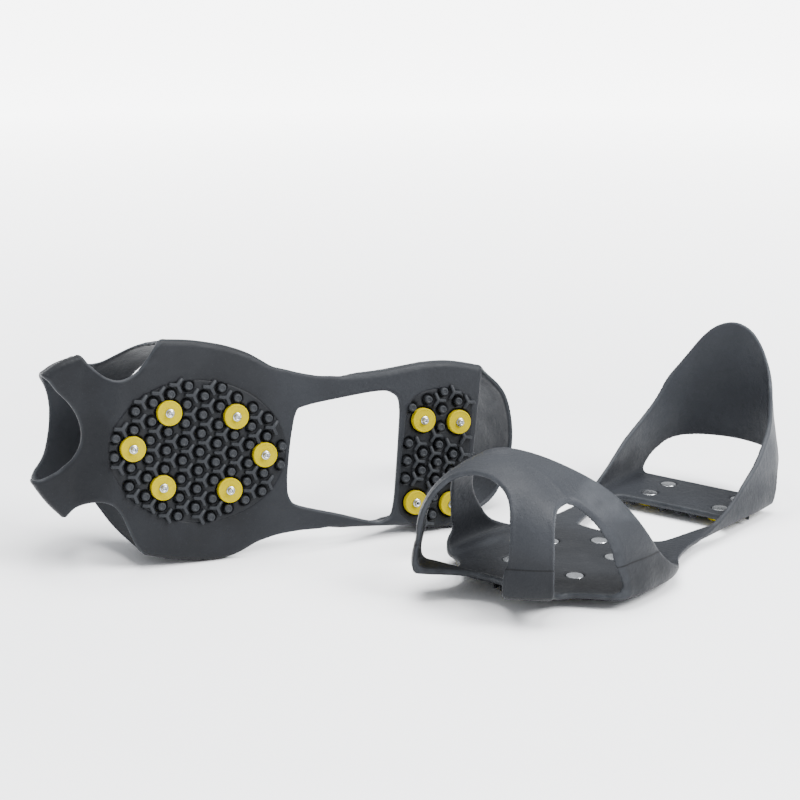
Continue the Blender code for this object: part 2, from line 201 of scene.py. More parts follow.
INNER_HOLE = [(-80, 84), (-52, 73), (-42, 66), (-36.5, 59), (-34.5, 52), (-36, 45), (-41, 38),
              (-46, 32), (-50, 26), (-54, 20), (-80, 2)]
WINDOW = [(0, -51.5), (20, -51.8), (28.5, -54), (32.4, -60), (36.3, -84), (40, -104),
          (39, -111.5), (31, -115.5), (0, -115), (-26, -113.5), (-32.5, -108), (-32.8, -99),
          (-28, -78), (-22.5, -58), (-18, -53)]

# Side views, as (y, z), and the strap's end view, as (x, z).
BAND_REAR = [(-29, FLOOR), (-22, 6), (-12, 11), (-4, 18), (5, 29), (12, 40), (18, 51),
             (24, 59), (30, 65.5), (36, 72), (44, 80), (54, 90)]
FLANK_FRONT = [(-80, FLOOR), (-104, 10), (-128, 21), (-148, 33.5), (-163, 46), (-170, 57),
               (-174, 68), (-178, 83), (-181, 110)]
HEEL_UNDER = [(-161.5, -10), (-162, 2), (-166, 9), (-173, 17), (-184, 23), (-215, 27)]
TAB = [(-60, 38), (-49, 46), (-41, 55), (-34, 65), (-27, 77), (-19.5, 88), (-11, 95.5), (0, 98.5),
       (11, 95.5), (19.5, 88), (27, 77), (34, 65), (41, 55), (49, 46), (60, 38)]

# Stage, in metres
FLOOR_HALF = 20.0
FLOOR_GLOW = 6.0         # the floor glows, so that the background stays white:
FLOOR_GLOW_START = 0.3   # not within this distance of the object's middle,
FLOOR_GLOW_END = 2.5     # and fully beyond this one
SURROUND_COLOUR = (0.95, 0.97, 1.0, 1)
SURROUND_STRENGTH = 0.9
CAMERA_OFFSET = Vector((0.500, -0.7581, 0.3298))   # from the ground under the standing forefoot
CAMERA_HEADING = 128.6   # degrees from +X to +Y
CAMERA_PITCH = -14.6
CAMERA_LENS = 81.0       # millimetres, on a sensor of this width
CAMERA_SENSOR = 36.0


# ------------------------------------------------------------ outlines and distances

def smooth_line(points, steps, closed=False):
    """A Catmull-Rom line through the points, with so many steps between two of them."""
    p = np.array(points, float)
    if closed:
        a, b, c, d = (np.roll(p, -k, axis=0)[:, None] for k in (-1, 0, 1, 2))
    else:
        ends = np.vstack([2 * p[0] - p[1], p, 2 * p[-1] - p[-2]])
        a, b, c, d = (ends[k:len(p) - 1 + k, None] for k in range(4))
    t = np.arange(steps)[None, :, None] / steps
    line = 0.5 * (2 * b + (c - a) * t + (2 * a - 5 * b + 4 * c - d) * t**2
                  + (3 * b - a - 3 * c + d) * t**3)
    line = line.reshape(-1, p.shape[1])
    return line if closed else np.vstack([line, p[-1:]])


def outline_distance(outline, u, v):
    """Distance from points (u, v) to a closed outline, negative inside it."""
    u, v = np.broadcast_arrays(u, v)
    nearest = np.full(u.shape, np.inf)
    inside = np.zeros(u.shape, bool)
    for (ax, ay), (bx, by) in zip(outline, np.roll(outline, -1, axis=0)):
        ex, ey = bx - ax, by - ay
        along = np.clip(((u - ax) * ex + (v - ay) * ey) / max(ex * ex + ey * ey, 1e-9), 0, 1)
        nearest = np.minimum(nearest, (u - ax - along * ex)**2 + (v - ay - along * ey)**2)
        if ay != by:
            inside ^= ((ay > v) != (by > v)) & (u < ex * (v - ay) / ey + ax)
    return (np.where(inside, -1, 1) * np.sqrt(nearest)).astype(np.float32)


def both(a, b, softness):
    """Where two solids overlap, with the edge between them rounded."""
    blend = np.maximum(softness - np.abs(a - b), 0) / softness
    return np.maximum(a, b) + blend * blend * softness / 4


def either(a, b, softness):
    """Two solids joined, with the corner between them filled."""
    return -both(-a, -b, softness)


def ease(low, high, value):
    """Rises smoothly from 0 at low to 1 at high."""
    t = np.clip((value - low) / (high - low), 0, 1)
    return t * t * (3 - 2 * t)


# ------------------------------------------------------------ the rubber as distances on a grid

def axis_points(k):
    """Grid positions along one axis, shaped to broadcast."""
    count = int((GRID_HIGH[k] - GRID_LOW[k]) / VOXEL) + 1
    shape = [1, 1, 1]
    shape[k] = count
    return (GRID_LOW[k] + VOXEL * np.arange(count)).astype(np.float32).reshape(shape)


X, Y, Z = (axis_points(k) for k in range(3))


def level_height():
    """Height over the sole at each (y, z), as it would be if the boot's toe didn't lift the sole."""
    lift = ease(SPRING_START, SPRING_END, Y) * SPRING_RISE
    lift = lift + np.maximum(Y - SPRING_END, 0) * SPRING_SLOPE
    low = Z - lift
    high = (Z - lift * (1 + RIM / DOME_HEIGHT)) / (1 - lift / DOME_HEIGHT)
    return np.where(low < RIM, low, high)


def reach_from_spine(outline, centre_y):
    """On the plan: how far the outline is from its spine, and how far each point is from it.

    The spine is the line x = 0 up to centre_y, where the round end begins. The round end is
    measured from that point.
    """
    x, y = smooth_line(outline, 6).T
    in_round = (y - centre_y) * centre_y > 0
    sides = []
    for side in (x > 0, x < 0):
        order = np.argsort(y[side & ~in_round])
        sides.append((y[side & ~in_round][order], np.abs(x[side & ~in_round])[order]))
    outer, inner = (np.interp(Y, *side) for side in sides)
    angle = np.arctan2(np.abs(y[in_round] - centre_y), x[in_round])
    angle = np.concatenate([[0], angle, [math.pi]])
    reach = np.hypot(x[in_round], y[in_round] - centre_y)
    ends = [[np.interp(centre_y, *side)] for side in sides]
    reach = np.concatenate([ends[0], reach, ends[1]])
    around = np.interp(np.arctan2(np.abs(Y - centre_y), X), angle, reach)
    beyond = (Y - centre_y) * centre_y > 0
    far = np.where(beyond, around, np.where(X >= 0, outer, inner)).astype(np.float32)
    own = np.where(beyond, np.hypot(X, Y - centre_y), np.abs(X) + 0 * Y).astype(np.float32)
    return far, own


def wall_inset(height):
    """How far the side wall stands in from the outline: a rounded foot, then a lean to the rim."""
    foot = 1 - np.sqrt(1 - np.clip(1 - height / CORNER, 0, 1)**2)
    return foot * CORNER_INSET + ease(CORNER, RIM, height) * RIM_INSET


def toe_surface(reach, own, level, floor, thickness, proud):
    """Distance to the toe's side wall and to the elliptic dome over it."""
    a = reach - wall_inset(level - floor) - thickness + proud
    height = DOME_HEIGHT - thickness + proud
    across = own / a
    up = np.maximum(level - RIM, 0) / height
    size = np.sqrt(across**2 + up**2)
    return (size - 1) * size / np.sqrt((across / a)**2 + (up / height)**2 + 1e-9)


def heel_surface(reach, own, floor, thickness, proud):
    """Distance to the heel's side wall and to the strap that leans in over it."""
    heights, shares = zip(*HEEL_SHARES)
    a = (reach - wall_inset(Z - floor) - thickness + proud) * np.interp(Z, heights, shares)
    return own - a


def side_cut(line, corners, u, v):
    """Distance to the space in front of or behind a smooth line, in a side view."""
    outline = np.vstack([smooth_line(line, 6), corners])
    return outline_distance(outline, u, v)


def opening(notch, hole, heights, level):
    """Distance to an opening that changes from its notch to its hole between two heights."""
    below = outline_distance(smooth_line(notch, 5), X, Y)
    above = outline_distance(smooth_line(hole, 5), X, Y)
    share = ease(*heights, level)
    return below * (1 - share) + above * share


def bead(distance, strength=1.0):
    """How much a bead raises the surface at a distance from a cut edge."""
    return strength * BEAD_HEIGHT * np.exp(-((distance - BEAD_WIDTH * 0.7) / BEAD_WIDTH)**2)


def stud_places():
    """Stud centres in the plane of the sole, forefoot first."""
    places = [(x + STUD_LINE_X, y) for x, y in FOREFOOT_STUDS]
    return places + [(x + STUD_LINE_X, y + HEEL_STUDS_Y) for x, y in HEEL_STUDS]


def tread_outlines():
    """The forefoot's and the heel's tread, each as its middle and its closed outline."""
    turns = np.linspace(0, math.tau, 72, endpoint=False)
    forefoot = np.stack([np.cos(turns), np.sin(turns)], axis=1) * FOREFOOT_TREAD
    heel = smooth_line(HEEL_TREAD, 6, closed=True)
    places = ((STUD_LINE_X, 0), (STUD_LINE_X, HEEL_STUDS_Y))
    return [(np.array(place), outline + place) for place, outline in zip(places, (forefoot, heel))]


def shared_fields():
    """The distances that both cleats share: the heights, the openings and the cuts."""
    level = level_height()
    fields = {"level": level}
    fields["front"] = opening(FRONT_NOTCH, FRONT_HOLE, FRONT_CHANGE, level)
    fields["outer"] = opening(SIDE_NOTCH, SIDE_HOLE, SIDE_CHANGE, level)
    fields["inner"] = opening(INNER_NOTCH, INNER_HOLE, SIDE_CHANGE, level)
    fields["window"] = outline_distance(smooth_line(WINDOW, 5, closed=True), X, Y)
    fields["band_rear"] = side_cut(BAND_REAR, [(-60, 90), (-60, FLOOR)], Y, Z)
    fields["flank"] = side_cut(FLANK_FRONT, [(-50, 110), (-50, FLOOR)], Y, Z)
    fields["under"] = side_cut(HEEL_UNDER, [(-215, -10)], Y, Z)
    fields["tab"] = -side_cut(TAB, [(80, 38), (80, -90), (-80, -90), (-80, 38)], X, Z)
    treads = [outline_distance(outline, X, Y) for _, outline in tread_outlines()]
    fields["tread"] = both(np.minimum(*treads) + SEAT_INSET, Z - RECESS, 0.2)
    return fields


def toe_part(shared, openings, step, share):
    """The toe's shell, and its outer surface alone."""
    level = shared["level"]
    proud = bead(openings) + bead(shared["band_rear"], BAND_BEAD) + step - BEAD_HEIGHT - STEP_HEIGHT
    proud = proud - FADE_DEPTH * (1 - share)
    reach, own = reach_from_spine(TOE_OUTLINE, TOE_CENTRE_Y)
    outer = toe_surface(reach, own, level, 0, 0, proud)
    hollow = toe_surface(reach, own, level, FLOOR, WALL + STEP_HEIGHT, 0)
    hollow = both(hollow, FLOOR - level, JOIN_ROUND)
    shell = both(both(outer, -level, FOOT_ROUND), -hollow, EDGE_ROUND)
    shell = both(shell, -shared["band_rear"], EDGE_ROUND)
    return both(shell, TOE_START_Y - Y, FOOT_ROUND), outer


def heel_part(shared, outline, share):
    """The heel's shell with the strap's rounded tab, before the cut under it."""
    beads = bead(shared["flank"]) + bead(shared["tab"]) + bead(shared["under"])
    proud = HEEL_BEAD * (beads - BEAD_HEIGHT) - FADE_DEPTH * (1 - share)
    reach, own = reach_from_spine(outline, HEEL_CENTRE_Y)
    outer = heel_surface(reach, own, 0, 0, proud)
    hollow = both(heel_surface(reach, own, FLOOR, WALL, 0), FLOOR - Z, JOIN_ROUND)
    shell = both(both(outer, -Z, FOOT_ROUND), -hollow, EDGE_ROUND)
    shell = both(shell, Y - HEEL_START_Y, FOOT_ROUND)
    shell = both(shell, -shared["flank"], EDGE_ROUND)
    return both(shell, -shared["tab"], EDGE_ROUND)


def sole_plate(shared, heel_outline, share):
    """The flat plate of the sole, from the toe over the waist to the heel."""
    loop = TOE_OUTLINE + INNER_WAIST + heel_outline[::-1] + OUTER_WAIST
    plan = outline_distance(smooth_line(loop, 5, closed=True), X, Y)
    plan = plan + WAIST_INSET + UNDER_INSET * share
    rim = bead(shared["window"], WINDOW_BEAD)
    return both(plan, np.abs(shared["level"] - FLOOR / 2) - FLOOR / 2 - rim, WAIST_ROUND)


def rubber_field(label, shared):
    """The overshoe as distances on the grid, negative in the rubber, and marks for its material."""
    level = shared["level"]
    openings = np.minimum(np.minimum(shared["front"], shared["outer"]), shared["inner"])
    step_height = STEP_AT_WING + (STEP_AT_TOE - STEP_AT_WING) * ease(*STEP_TURN, Y)
    step = STEP_HEIGHT * (1 - ease(-0.5, 0.5, level - step_height))
    toe_share = ease(TOE_START_Y, TOE_START_Y + FADE_LENGTH, Y)
    heel_share = 1 - ease(HEEL_START_Y - FADE_LENGTH, HEEL_START_Y, Y)
    heel_outline = [(x - HEEL_SHIFT[label] * min((HEEL_START_Y - y) / HEEL_SHIFT_LENGTH, 1), y)
                    for x, y in HEEL_OUTLINE]

    toe, toe_outside = toe_part(shared, openings, step, toe_share)
    heel = heel_part(shared, heel_outline, heel_share)
    plate = sole_plate(shared, heel_outline, np.maximum(toe_share, heel_share))
    body = either(either(toe, plate, PLATE_ROUND), heel, PLATE_ROUND)
    body = both(body, -shared["under"], EDGE_ROUND)
    for name in ("front", "outer", "inner", "window"):
        body = both(body, -shared[name], OPENING_ROUND)
    body = both(body, -shared["tread"], SEAT_ROUND)
    for x, y in stud_places():
        head = both(np.hypot(X - x, Y - y) - HEAD_R - GAP, HEAD_FACE - GAP - Z, POCKET_ROUND)
        body = np.maximum(body, -np.maximum(head, Z - 2 * FLOOR))

    cuts = np.minimum(shared["band_rear"], np.minimum(shared["flank"], shared["tab"]))
    cuts = cuts + SHELTER_SLOPE * np.maximum(FLOOR + SHELTER - Z, 0)
    marks = {
        "edge": np.minimum(np.minimum(cuts, openings), shared["window"]),
        "rise": level - step_height,
        "outside": (toe_outside > -STEP_DEPTH) & (Y > STEP_REAR),
        # Paler at the toe and the rear, and paler up the bands as painted light from above
        "pale_and_top_light": (PALE_SOLE + PALE_REAR * ease(*REAR_SPAN, -Y)
                 + PAINTED_TOP_LIGHT * ease(*HIGH_SPAN, level)),
    }
    return body.astype(np.float32), marks


# ------------------------------------------------------------ from distances to a mesh

def grid_sample(values, at):
    """Trilinear values of a grid at points that are given in grid steps."""
    base = np.clip(np.floor(at).astype(int), 0, np.array(values.shape) - 2)
    part = (at - base).astype(np.float32)
    total = 0
    for corner in np.ndindex(2, 2, 2):
        weight = np.prod(np.where(corner, part, 1 - part), axis=1)
        total = total + weight * values[tuple((base + corner).T)]
    return total


def clear_pinches(values):
    """Changes the sign of the weakest value where the surface would touch itself along an edge."""
    for _ in range(PINCH_ROUNDS):
        found = False
        inside = values < 0
        for axis in range(3):
            steps = np.eye(3, dtype=int)[[k for k in range(3) if k != axis]]
            offsets = [0 * steps[0], steps[0], steps[0] + steps[1], steps[1]]
            a, b, c, d = (inside[tuple(slice(o, n - 1 + o) for o, n in zip(offset, inside.shape))]
                          for offset in offsets)
            for place in np.argwhere((a == c) & (b == d) & (a != b)):
                corners = [tuple(place + offset) for offset in offsets]
                values[min(corners, key=lambda at: abs(values[at]))] *= -1
                found = True
        if not found:
            break


def net_points(values, cells):
    """A point in each of the cells, in grid steps: the mean of where the surface cuts its edges."""
    total = np.zeros((len(cells), 3), np.float32)
    crossings = np.zeros(len(cells), np.float32)
    for axis in range(3):
        for offset in np.ndindex(2, 2):
            start = list(offset)
            start.insert(axis, 0)
            end = list(start)
            end[axis] = 1
            a = values[tuple((cells + start).T)]
            b = values[tuple((cells + end).T)]
            crosses = (a < 0) != (b < 0)
            share = np.where(crosses, a / np.where(crosses, a - b, 1), 0)
            point = np.tile(np.array(start, np.float32), (len(cells), 1))
            point[:, axis] = share
            total += point * crosses[:, None]
            crossings += crosses
    return cells + total / crossings[:, None]


def net_quads(inside, index):
    """A quad round each grid edge that the surface cuts, as the indices of its four cells."""
    quads = []
    for axis in range(3):
        b, c = (axis + 1) % 3, (axis + 2) % 3
        here = [slice(None)] * 3
        there = [slice(None)] * 3
        here[axis], there[axis] = slice(0, -1), slice(1, None)
        for leaving in (True, False):
            first, second = inside[tuple(here)], inside[tuple(there)]
            edges = np.argwhere(first & ~second if leaving else ~first & second)
            around = []
            for step_b, step_c in ((0, 0), (1, 0), (1, 1), (0, 1)):
                cell = edges.copy()
                cell[:, b] -= step_b
                cell[:, c] -= step_c
                around.append(index[tuple(cell.T)])
            quad = np.stack(around, axis=1)
            quads.append(quad if leaving else quad[:, ::-1])
    return np.concatenate(quads)


def surface_net(values):
    """Points, in grid steps, and quads of the surface where the values pass through zero."""
    inside = values < 0
    size = tuple(n - 1 for n in values.shape)
    count = np.zeros(size, np.uint8)
    for corner in np.ndindex(2, 2, 2):
        count += inside[tuple(slice(c, c + n) for c, n in zip(corner, size))]
    cells = np.argwhere((count > 0) & (count < 8))
    index = np.full(size, -1, np.int64)
    index[tuple(cells.T)] = np.arange(len(cells))
    return net_points(values, cells), net_quads(inside, index)


def neighbour_mean(points, quads):
    """The mean of each point's neighbours along the quads' edges."""
    total = np.zeros_like(points)
    count = np.zeros(len(points))
    for a, b in ((0, 1), (1, 2), (2, 3), (3, 0)):
        for start, end in ((a, b), (b, a)):
            for k in range(3):
                total[:, k] += np.bincount(quads[:, start], points[quads[:, end], k], len(points))
            count += np.bincount(quads[:, start], minlength=len(points))
    return total / count[:, None]


def settle(points, quads, values, rounds=3):
    """Evens the points out and puts them back on the surface."""
    slopes = np.gradient(values)
    for _ in range(rounds):
        points = 0.5 * points + 0.5 * neighbour_mean(points, quads)
        for _ in range(2):
            slope = np.stack([grid_sample(s, points) for s in slopes], axis=1)
            steep = np.maximum((slope**2).sum(axis=1), 0.2)   # no long steps where it is flat
            points = points - (grid_sample(values, points) / steep)[:, None] * slope
    return points


# ------------------------------------------------------------ meshes

def node_points(name):
    """The points of a CAD node, in metres."""
    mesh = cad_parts[name].data
    places = np.empty(len(mesh.vertices) * 3)
    mesh.vertices.foreach_get("co", places)
    return places.reshape(-1, 3)


class CleatFrame:
    """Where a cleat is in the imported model: an origin and three axes, in metres."""

    def __init__(self, label, side):
        """The side is 1 for the right foot's cleat and -1 for its mirror image."""
        self.label = label
        self.side = side
        points = {k: node_points(f"{label}_stud_{k:02d}") for k in range(1, 7)}   # forefoot studs
        centre = {k: (p.min(axis=0) + p.max(axis=0)) / 2 for k, p in points.items()}
        self.y = (centre[1] - centre[4]) / np.linalg.norm(centre[1] - centre[4])
        across = centre[2] - centre[6]
        across -= across.dot(self.y) * self.y
        self.x = across / np.linalg.norm(across)
        self.z = side * np.cross(self.x, self.y)
        middle = sum(centre.values()) / len(centre)
        tip = min((points[1] @ self.z).min(), (points[4] @ self.z).min())
        ground = tip + STUD_TIP * MM
        self.origin = middle - STUD_LINE_X * MM * self.x
        self.origin += (ground - self.origin.dot(self.z)) * self.z

    def place(self, points):
        """Cleat millimetres to the row frame's metres."""
        x, y, z = (np.asarray(points) * MM).T[:, :, None]
        return self.origin + x * self.x + y * self.y + z * self.z

    def make(self, name, points, faces, material, sharp=None):
        """An object from a cleat's points and faces, shaded smooth, on the cleat's body."""
        mesh = bpy.data.meshes.new(name)
        if self.side < 0:
            faces = [tuple(reversed(face)) for face in faces]
        mesh.from_pydata(self.place(points).tolist(), [], [tuple(map(int, f)) for f in faces])
        mesh.materials.append(material)
        mesh.shade_smooth()
        if sharp:
            mesh.set_sharp_from_angle(angle=math.radians(sharp))
        piece = bpy.data.objects.new(name, mesh)
        bpy.context.scene.collection.objects.link(piece)
        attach(piece, self.label + "_cleat")
        return piece


class Pile:
    """Points and faces of several closed shapes that become one mesh."""

    def __init__(self):
        self.points = []
        self.faces = []

    def loft(self, rings):
        """A closed shape through rings that hold the same number of points, lowest first."""
        start = len(self.points)
        count = len(rings[0])
        for ring in rings:
            self.points.extend(ring)
        for row in range(len(rings) - 1):
            low, high = start + row * count, start + (row + 1) * count
            for i in range(count):
                k = (i + 1) % count
                self.faces.append((low + i, low + k, high + k, high + i))
        self.faces.append(tuple(start + i for i in reversed(range(count))))
        self.faces.append(tuple(start + (len(rings) - 1) * count + i for i in range(count)))

    def turn(self, profile, centre, count):
        """A shape turned about a vertical line, from (radius, z) given lowest first."""
        turns = [math.tau * k / count for k in range(count)]
        self.loft([[(centre[0] + r * math.cos(turn), centre[1] + r * math.sin(turn), z)
                    for turn in turns] for r, z in profile])

    def slab(self, x, y, z, bottom):
        """A closed slab from a grid of points down to a flat bottom."""
        start = len(self.points)
        self.points.extend(zip(x.ravel(), y.ravel(), z.ravel()))
        index = start + np.arange(x.size).reshape(x.shape)
        quads = np.stack([index[:-1, :-1], index[:-1, 1:], index[1:, 1:], index[1:, :-1]], axis=-1)
        self.faces.extend(map(tuple, quads.reshape(-1, 4)))
        border = np.concatenate([index[:-1, 0], index[-1, :-1], index[:0:-1, -1], index[0, :0:-1]])
        low = len(self.points)
        self.points.extend((self.points[i][0], self.points[i][1], bottom) for i in border)
        size = len(border)
        for i in range(size):
            k = (i + 1) % size
            self.faces.append((border[i], border[k], low + k, low + i))
        self.faces.append(tuple(low + i for i in range(size)))

    def ring(self, profile, centre, count):
        """A ring turned about a vertical line, from a closed profile of (radius, z)."""
        start = len(self.points)
        size = len(profile)
        for k in range(count):
            turn = math.tau * k / count
            self.points.extend((centre[0] + r * math.cos(turn), centre[1] + r * math.sin(turn), z)
                               for r, z in profile)
        for k in range(count):
            here, there = start + k * size, start + (k + 1) % count * size
            for i in range(size):
                j = (i + 1) % size
                self.faces.append((here + i, there + i, there + j, here + j))


def ridge_rings(centre, facing):
    """Rings of a three-armed ridge: one arm to the toe for facing 1, or to the heel for -1."""
    rings = []
    for half, z in RIDGE_PROFILE:
        ring = []
        for arm in range(3):
            turn = math.radians(90 * facing + 120 * arm)
            along = Vector((math.cos(turn), math.sin(turn)))
            across = Vector((-along.y, along.x)) * half
            end = along * RIDGE_ARM
            tip = end + along * half * RIDGE_TIP
            turn += math.radians(60)
            corner = Vector((math.cos(turn), math.sin(turn))) * half / math.sin(math.radians(60))
            ring += [end - across, tip - across * 0.5, tip + across * 0.5, end + across, corner]
        rings.append([(centre[0] + p.x, centre[1] + p.y, z) for p in ring])
    return rings


def pin_places(middle, outline):
    """The pins of one tread: every second column is half a pitch over, and none is near a stud."""
    studs = np.array(stud_places())
    places = []
    for column in range(-5, 6):
        for row in range(-5, 6):
            place = middle + (PIN_PITCH * (row + 0.5 * (column % 2)), COLUMN_STEP * column)
            clear = np.hypot(*(studs - place).T).min() > PIN_CLEARANCE
            if clear and outline_distance(outline, *place) < -PIN_MARGIN:
                places.append(place)
    return np.array(places)


def ridge_places(middle, outline, facing):
    """The ridges' middles, each between three pins."""
    studs = np.array(stud_places())
    for column in range(-6, 7):
        for row in range(-6, 6):
            place = middle + (PIN_PITCH * (row + 0.5 + 0.5 * (column % 2)),
                              COLUMN_STEP * (column - facing / 3))
            clear = np.hypot(*(studs - place).T).min() > RIDGE_CLEARANCE
            if clear and outline_distance(outline, *place) < -RIDGE_MARGIN:
                yield place


def nearest_of(places, x, y):
    """Distance from each (x, y) to the nearest of the places."""
    nearest = np.full(x.shape, np.inf)
    for place_x, place_y in places:
        nearest = np.minimum(nearest, np.hypot(x - place_x, y - place_y))
    return nearest


def add_ground(pile, middle, outline, pins, counts):
    """The tread's ground: a slab with a pit round each pin and a groove round each collar."""
    a, b = np.meshgrid(*(np.linspace(-1, 1, n) for n in counts), indexing="ij")
    u, v = a * np.sqrt(1 - b * b / 2), b * np.sqrt(1 - a * a / 2)   # a square grid drawn into a disc
    offsets = outline - middle
    reach = np.interp(np.arctan2(v, u), *np.array(sorted(zip(
        np.arctan2(offsets[:, 1], offsets[:, 0]), np.hypot(*offsets.T)))).T, period=math.tau)
    x, y = middle[0] + u * reach, middle[1] + v * reach
    pit = PIT_DEPTH * (1 - ease(PIT_R - 0.5, PIT_R + 0.3, nearest_of(pins, x, y)))
    moat = MOAT_DEPTH * (1 - ease(MOAT_R - 0.3, MOAT_R + 0.3, nearest_of(stud_places(), x, y)))
    to_rim = (1 - np.hypot(u, v)) * reach
    z = np.maximum(pit, moat) - GROUND_PROUD + GROUND_DROP * (1 - ease(0, GROUND_RIM, to_rim))
    pile.slab(x, y, z, GROUND_BOTTOM)


def make_tread(cleat, material):
    """Both treads: ground, pins and three-armed ridges, which point the other way at the heel."""
    pile = Pile()
    for (middle, outline), facing, counts in zip(tread_outlines(), (1, -1), GROUND_COUNTS):
        pins = pin_places(middle, outline)
        add_ground(pile, middle, outline, pins, counts)
        for place in pins:
            pile.turn(PIN_PROFILE, place, TURNED_COUNTS["pin"])
        for place in ridge_places(middle, outline, facing):
            pile.loft(ridge_rings(place, facing))
    piece = cleat.make(cleat.label + "_tread", pile.points, pile.faces, material, sharp=50)
    # Height in the tread, for its painted pit shade and the painted highlight on the tops
    depth = np.array(pile.points, np.float32)[:, 2] / PIT_DEPTH
    piece.data.attributes.new("pit", "FLOAT", "POINT").data.foreach_set("value", depth)


def make_collar(cleat, number, place, material):
    """A yellow collar with a thin raised rim and a bevelled edge."""
    node = f"{cleat.label}_collar_{number:02d}"
    pile = Pile()
    pile.ring(COLLAR_PROFILE, place, TURNED_COUNTS["collar"])
    piece = cleat.make(node + "_finish", pile.points, pile.faces, material, sharp=35)
    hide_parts(node)


def make_stud(cleat, number, place, material):
    """A steel stud: a tubular tip that is peened over, a shank and a flat head inside the sole."""
    node = f"{cleat.label}_stud_{number:02d}"
    pile = Pile()
    pile.turn(STUD_PROFILE, place, TURNED_COUNTS["stud"])
    piece = cleat.make(node + "_finish", pile.points, pile.faces, material, sharp=35)
    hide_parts(node)


def make_rubber(cleat, shared, material):
    """The overshoe, with its marks as attributes for the material."""
    values, marks = rubber_field(cleat.label, shared)
    clear_pinches(values)
    points, quads = surface_net(values)
    points = settle(points, quads, values)
    piece = cleat.make(cleat.label + "_rubber", points * VOXEL + GRID_LOW, quads, material)
    for name, field in marks.items():
        grid = np.broadcast_to(field, values.shape)
        layer = piece.data.attributes.new(name, "FLOAT", "POINT")
        layer.data.foreach_set("value", grid_sample(grid, points).astype(np.float32))
    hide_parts(cleat.label + "_overshoe")


# ------------------------------------------------------------ materials

class Shader:
    """A material's node tree, with short calls to add and link nodes."""

    def __init__(self, name):
        self.material = bpy.data.materials.new(name)
        self.material.use_nodes = True
        self.tree = self.material.node_tree
        self.principled = self.tree.nodes["Principled BSDF"]
        self.place = self.tree.nodes.new("ShaderNodeTexCoord").outputs["Object"]

    def node(self, kind, inputs=(), **settings):
        """A node of a kind, with values or outputs for its inputs and plain settings."""
        made = self.tree.nodes.new("ShaderNode" + kind)
        for key, value in settings.items():
            setattr(made, key, value)
        for key, value in dict(inputs).items():
            self.link(value, made.inputs[key])
        return made

    def link(self, value, socket):
        """Links an output to a socket, or sets a plain value."""
        if isinstance(value, bpy.types.NodeSocket):
            self.tree.links.new(value, socket)
        else:
            socket.default_value = value

    def noise(self, scale, detail=2.0, stretch=None):
        """Noise with about so many spots to a metre."""
        place = self.place
        if stretch:
            place = self.node("Mapping", {"Vector": place, "Scale": stretch}).outputs["Vector"]
        made = self.node("TexNoise", {"Vector": place, "Scale": scale, "Detail": detail})
        return made.outputs["Fac"]

    def ramp(self, value, low, high, start=0.0, end=1.0):
        """Maps low..high to start..end, and holds it there outside."""
        made = self.node("MapRange", {"Value": value, "From Min": low, "From Max": high,
                                      "To Min": start, "To Max": end})
        return made.outputs["Result"]

    def mix(self, share, a, b):
        """A share of colour b in colour a, each an output or a red, green and blue."""
        made = self.node("Mix", data_type="RGBA")
        self.link(share, made.inputs["Factor"])
        for colour, socket in ((a, made.inputs[6]), (b, made.inputs[7])):   # A and B of a colour mix
            self.link((*colour, 1) if isinstance(colour, tuple) else colour, socket)
        return made.outputs[2]

    def maths(self, operation, a, b):
        return self.node("Math", {0: a, 1: b}, operation=operation).outputs["Value"]

    def attribute(self, name):
        return self.node("Attribute", attribute_name=name).outputs["Fac"]

    def bump(self, layers):
        """Bumps from (height, distance in metres) pairs, one over the other."""
        normal = None
        for height, distance in layers:
            made = self.node("Bump", {"Height": height, "Distance": distance, "Strength": 1.0})
            if normal:
                self.link(normal, made.inputs["Normal"])
            normal = made.outputs["Normal"]
        self.link(normal, self.principled.inputs["Normal"])

    def set(self, **inputs):
        for key, value in inputs.items():
            self.link(value, self.principled.inputs[key.replace("_", " ")])
        return self.material


RUBBER_DARK = (0.0064, 0.0070, 0.0084)
# Pale tone: for the toe and the rear, and for painted light from above up the bands
RUBBER_PALE_AND_LIT = (0.027, 0.0295, 0.0345)
# Pale of wear and dust, also used for a painted highlight along the cut edges
RUBBER_WEAR_AND_HIGHLIGHT = (0.045, 0.049, 0.056)
# Painted shade along the moulded step
RUBBER_STEP_SHADE = tuple(c * 0.35 for c in RUBBER_DARK)
# The tread's rubber, darkened as painted shade
TREAD_SHADED_TONES = (0.0085, 0.0092, 0.0107), (0.013, 0.014, 0.016)
# Painted shade down in the pits
TREAD_PIT_SHADE = (0.003, 0.0032, 0.0037)
# Painted highlight on the tops
TREAD_TOP_HIGHLIGHT = (0.022, 0.0238, 0.027)
YELLOW_TONES = (0.335, 0.268, 0.0), (0.30, 0.235, 0.0)
YELLOW_DIRT = (0.22, 0.17, 0.01)
STEEL_TONES = (0.40, 0.415, 0.43), (0.35, 0.36, 0.375)
FLOOR_TONES = (0.93, 0.94, 0.96), (0.95, 0.955, 0.965)


